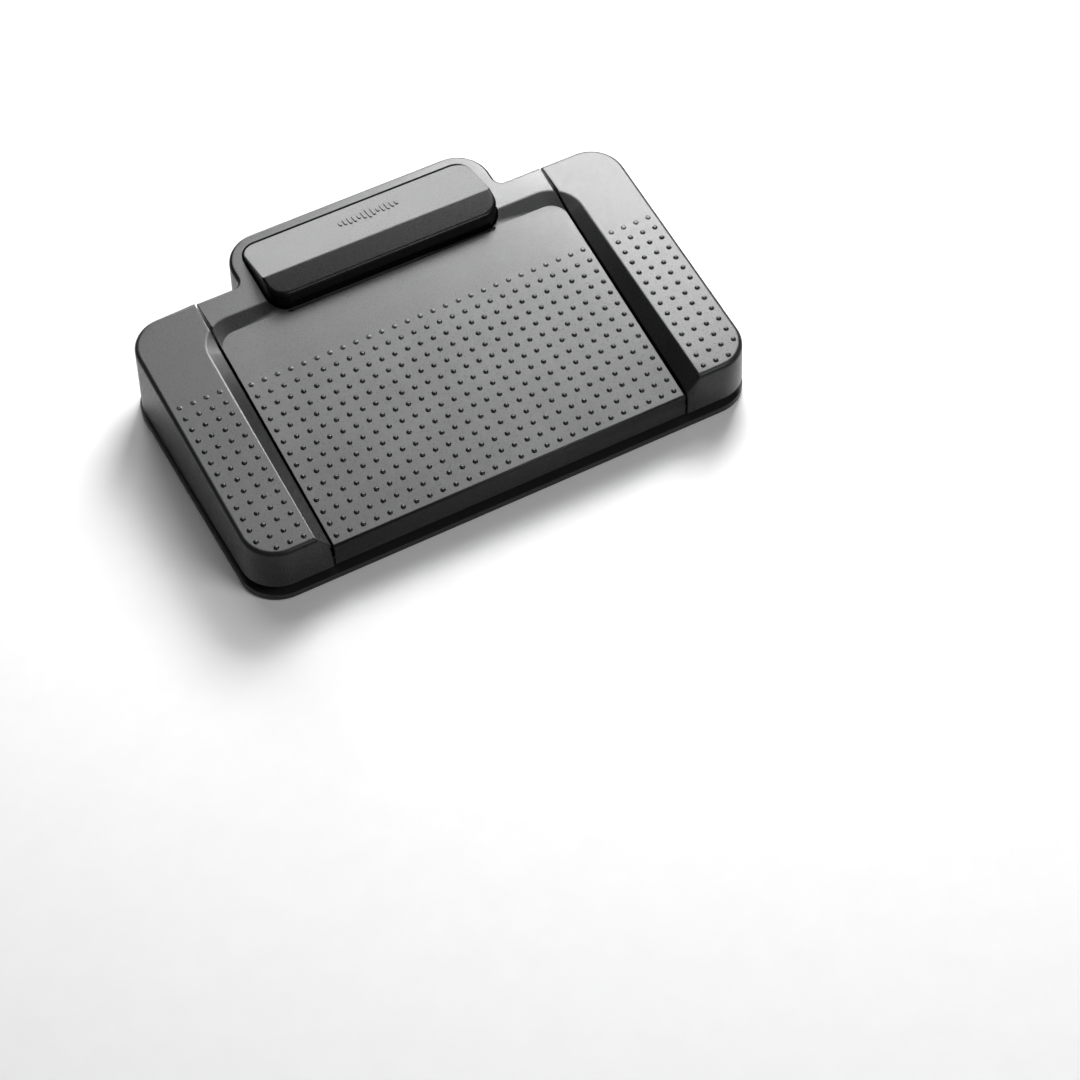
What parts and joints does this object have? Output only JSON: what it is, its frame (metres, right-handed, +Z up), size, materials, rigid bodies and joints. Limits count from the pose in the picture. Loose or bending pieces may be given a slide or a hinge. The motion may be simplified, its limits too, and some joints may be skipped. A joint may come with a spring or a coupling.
{
  "type": "four-pedal transcription foot control",
  "caption": "Wedge-shaped foot control with left, middle, right and raised top pedals, each sprung and hinged at the back, on a black base with rubber feet.",
  "frame": {"origin": "centre of the footprint, on the plane the rubber feet stand on", "axes": "+X to the right pedal, +Y towards the hump and the cable outlet at the back, +Z up"},
  "size_m": [0.2524, 0.166, 0.0524],
  "materials": {
    "pedal_side": "satin",
    "pedal_middle": "satin",
    "base_plastic": "matte",
    "under_plate": "matte",
    "rubber": "matte",
    "stop_rubber": "matte",
    "screw_steel": "satin",
    "shaft_steel": "satin",
    "spring_steel": "satin",
    "ballast_iron": "matte",
    "board_laminate": "satin",
    "chip_plastic": "matte",
    "header_plastic": "satin",
    "cover_plastic": "satin",
    "frame_plastic": "matte",
    "bush_plastic": "satin",
    "magnet_metal": "satin"
  },
  "bodies": {
    "base": {"base_tray": "base_plastic", "bottom_plate": "under_plate", "rubber_feet": "rubber", "plate_screws": "screw_steel", "hinge_shaft": "shaft_steel", "shaft_clips": "screw_steel", "stop_pads": "stop_rubber", "ballast_bar": "ballast_iron", "main_board": "board_laminate", "controller_chip": "chip_plastic", "hall_sensors": "chip_plastic", "cable_header": "header_plastic", "board_cover": "cover_plastic", "cover_gasket": "stop_rubber", "cover_screws": "screw_steel", "riser_board": "board_laminate", "cable_gland": "rubber", "left_spring": "spring_steel", "middle_springs": "spring_steel", "right_spring": "spring_steel"},
    "left_pedal_body": {"left_pedal": "pedal_side", "left_frame": "frame_plastic", "left_bushes": "bush_plastic", "left_magnet": "magnet_metal"},
    "middle_pedal_body": {"middle_pedal": "pedal_middle", "middle_frame": "frame_plastic", "pin_lugs": "frame_plastic", "middle_bushes": "bush_plastic", "middle_magnet": "magnet_metal", "top_pedal_pin": "shaft_steel", "top_spring": "spring_steel"},
    "right_pedal_body": {"right_pedal": "pedal_side", "right_frame": "frame_plastic", "right_bushes": "bush_plastic", "right_magnet": "magnet_metal"},
    "top_pedal_body": {"top_pedal": "pedal_middle", "top_frame": "frame_plastic", "top_magnet": "magnet_metal"}
  },
  "joints": [
    {"name": "left_pedal_press", "type": "hinge", "parent": "base", "child": "left_pedal_body", "pos_m": [-0.1065, 0.045, 0.012], "axis": [1, 0, 0], "range_deg": [0, 2.2], "stiffness_Nm_per_rad": 3, "springref_deg": -6.88, "deforming": ["left_spring"]},
    {"name": "middle_pedal_press", "type": "hinge", "parent": "base", "child": "middle_pedal_body", "pos_m": [0, 0.045, 0.012], "axis": [1, 0, 0], "range_deg": [0, 2.2], "stiffness_Nm_per_rad": 5, "springref_deg": -6.88, "deforming": ["middle_springs"]},
    {"name": "right_pedal_press", "type": "hinge", "parent": "base", "child": "right_pedal_body", "pos_m": [0.1065, 0.045, 0.012], "axis": [1, 0, 0], "range_deg": [0, 2.2], "stiffness_Nm_per_rad": 3, "springref_deg": -6.88, "deforming": ["right_spring"]},
    {"name": "top_pedal_press", "type": "hinge", "parent": "middle_pedal_body", "child": "top_pedal_body", "pos_m": [0, 0.067, 0.042], "axis": [1, 0, 0], "range_deg": [0, 2.5], "stiffness_Nm_per_rad": 0.6, "springref_deg": -6.88, "deforming": ["top_spring"]}
  ]
}
